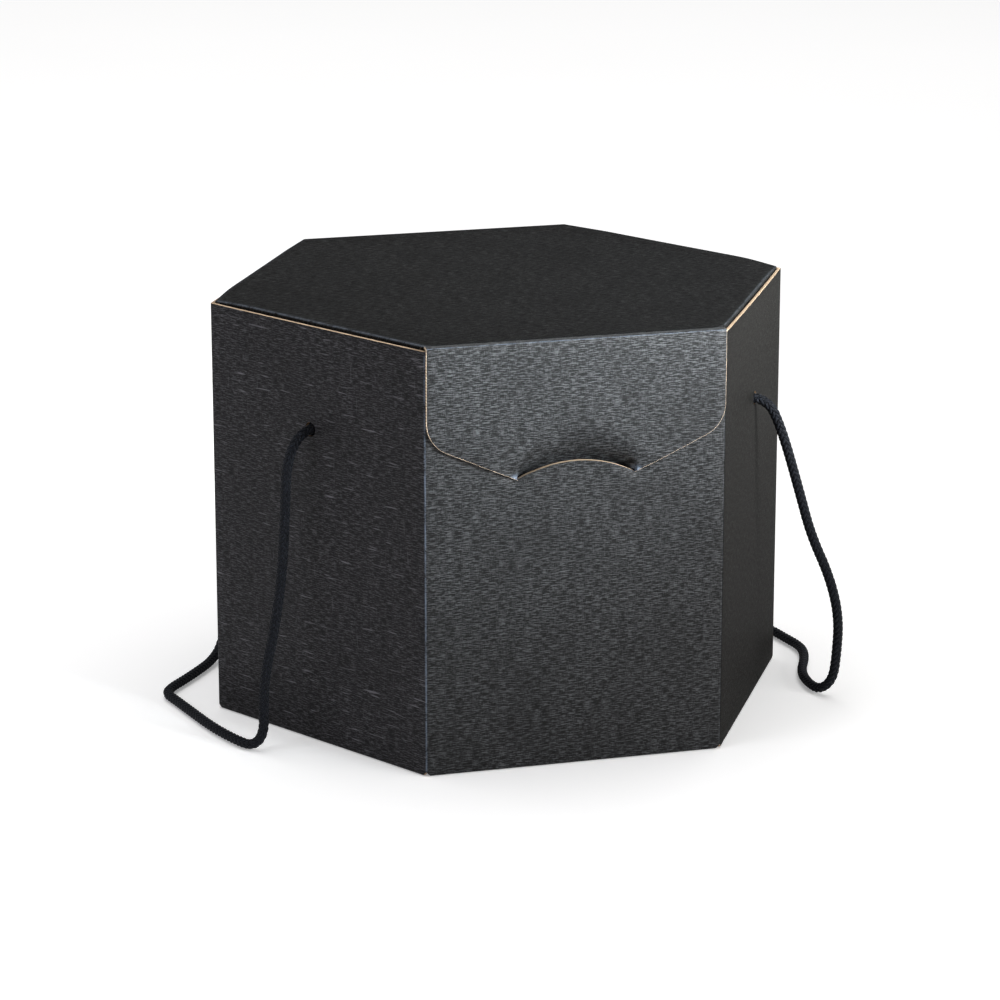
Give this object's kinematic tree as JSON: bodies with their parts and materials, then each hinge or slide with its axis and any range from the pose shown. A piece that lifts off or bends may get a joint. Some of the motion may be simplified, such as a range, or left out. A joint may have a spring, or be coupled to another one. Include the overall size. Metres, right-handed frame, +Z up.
{
  "type": "gift box",
  "caption": "Hexagonal micro-flute board gift box with a hinged tuck-in lid, a front flap that tucks into an arc slit, a snap-lock base and two cord handles.",
  "frame": {"origin": "centre of the hexagonal base, on the surface the box stands on", "axes": "+Z up; the front wall with the slit faces -Y; two corners of the hexagon lie on the X axis"},
  "size_m": [0.2939, 0.2236, 0.1818],
  "materials": {
    "linen_board": "satin",
    "braided_cord": "matte"
  },
  "bodies": {
    "box": {"back_base_panel": "linen_board", "back_left_base_flap": "linen_board", "back_left_knot": "braided_cord", "back_left_wall": "linen_board", "back_right_base_flap": "linen_board", "back_right_knot": "braided_cord", "back_right_wall": "linen_board", "back_wall": "linen_board", "front_base_panel": "linen_board", "front_left_base_flap": "linen_board", "front_left_knot": "braided_cord", "front_left_wall": "linen_board", "front_right_base_flap": "linen_board", "front_right_knot": "braided_cord", "front_right_wall": "linen_board", "front_wall": "linen_board", "glue_tab": "linen_board", "left_handle_cord": "braided_cord", "right_handle_cord": "braided_cord"},
    "lid": {"lid_panel": "linen_board"},
    "front_flap": {"front_flap": "linen_board"},
    "front_left_dust_flap": {"front_left_dust_flap": "linen_board"},
    "back_left_dust_flap": {"back_left_dust_flap": "linen_board"},
    "back_right_dust_flap": {"back_right_dust_flap": "linen_board"},
    "front_right_dust_flap": {"front_right_dust_flap": "linen_board"}
  },
  "joints": [
    {"name": "lid_hinge", "type": "hinge", "parent": "box", "child": "lid", "pos_m": [0, 0.11085, 0.1818], "axis": [-1, 0, 0], "range_deg": [0, 175]},
    {"name": "front_flap_crease", "type": "hinge", "parent": "lid", "child": "front_flap", "pos_m": [0, -0.11265, 0.1818], "axis": [-1, 0, 0], "range_deg": [0, 55]},
    {"name": "front_left_dust_flap_crease", "type": "hinge", "parent": "lid", "child": "front_left_dust_flap", "pos_m": [-0.09384, -0.05418, 0.1818], "axis": [-0.5, 0.866, 0], "range_deg": [0, 28]},
    {"name": "back_left_dust_flap_crease", "type": "hinge", "parent": "lid", "child": "back_left_dust_flap", "pos_m": [-0.09384, 0.05418, 0.1818], "axis": [0.5, 0.866, 0], "range_deg": [0, 28]},
    {"name": "back_right_dust_flap_crease", "type": "hinge", "parent": "lid", "child": "back_right_dust_flap", "pos_m": [0.09384, 0.05418, 0.1818], "axis": [0.5, -0.866, 0], "range_deg": [0, 28]},
    {"name": "front_right_dust_flap_crease", "type": "hinge", "parent": "lid", "child": "front_right_dust_flap", "pos_m": [0.09384, -0.05418, 0.1818], "axis": [-0.5, -0.866, 0], "range_deg": [0, 28]}
  ],
  "couplings": [
    {"joint": "front_flap_crease", "follows": "lid_hinge", "ratio": 0.3},
    {"joint": "front_left_dust_flap_crease", "follows": "lid_hinge", "ratio": 0.15},
    {"joint": "back_left_dust_flap_crease", "follows": "lid_hinge", "ratio": 0.15},
    {"joint": "back_right_dust_flap_crease", "follows": "lid_hinge", "ratio": 0.15},
    {"joint": "front_right_dust_flap_crease", "follows": "lid_hinge", "ratio": 0.15}
  ]
}
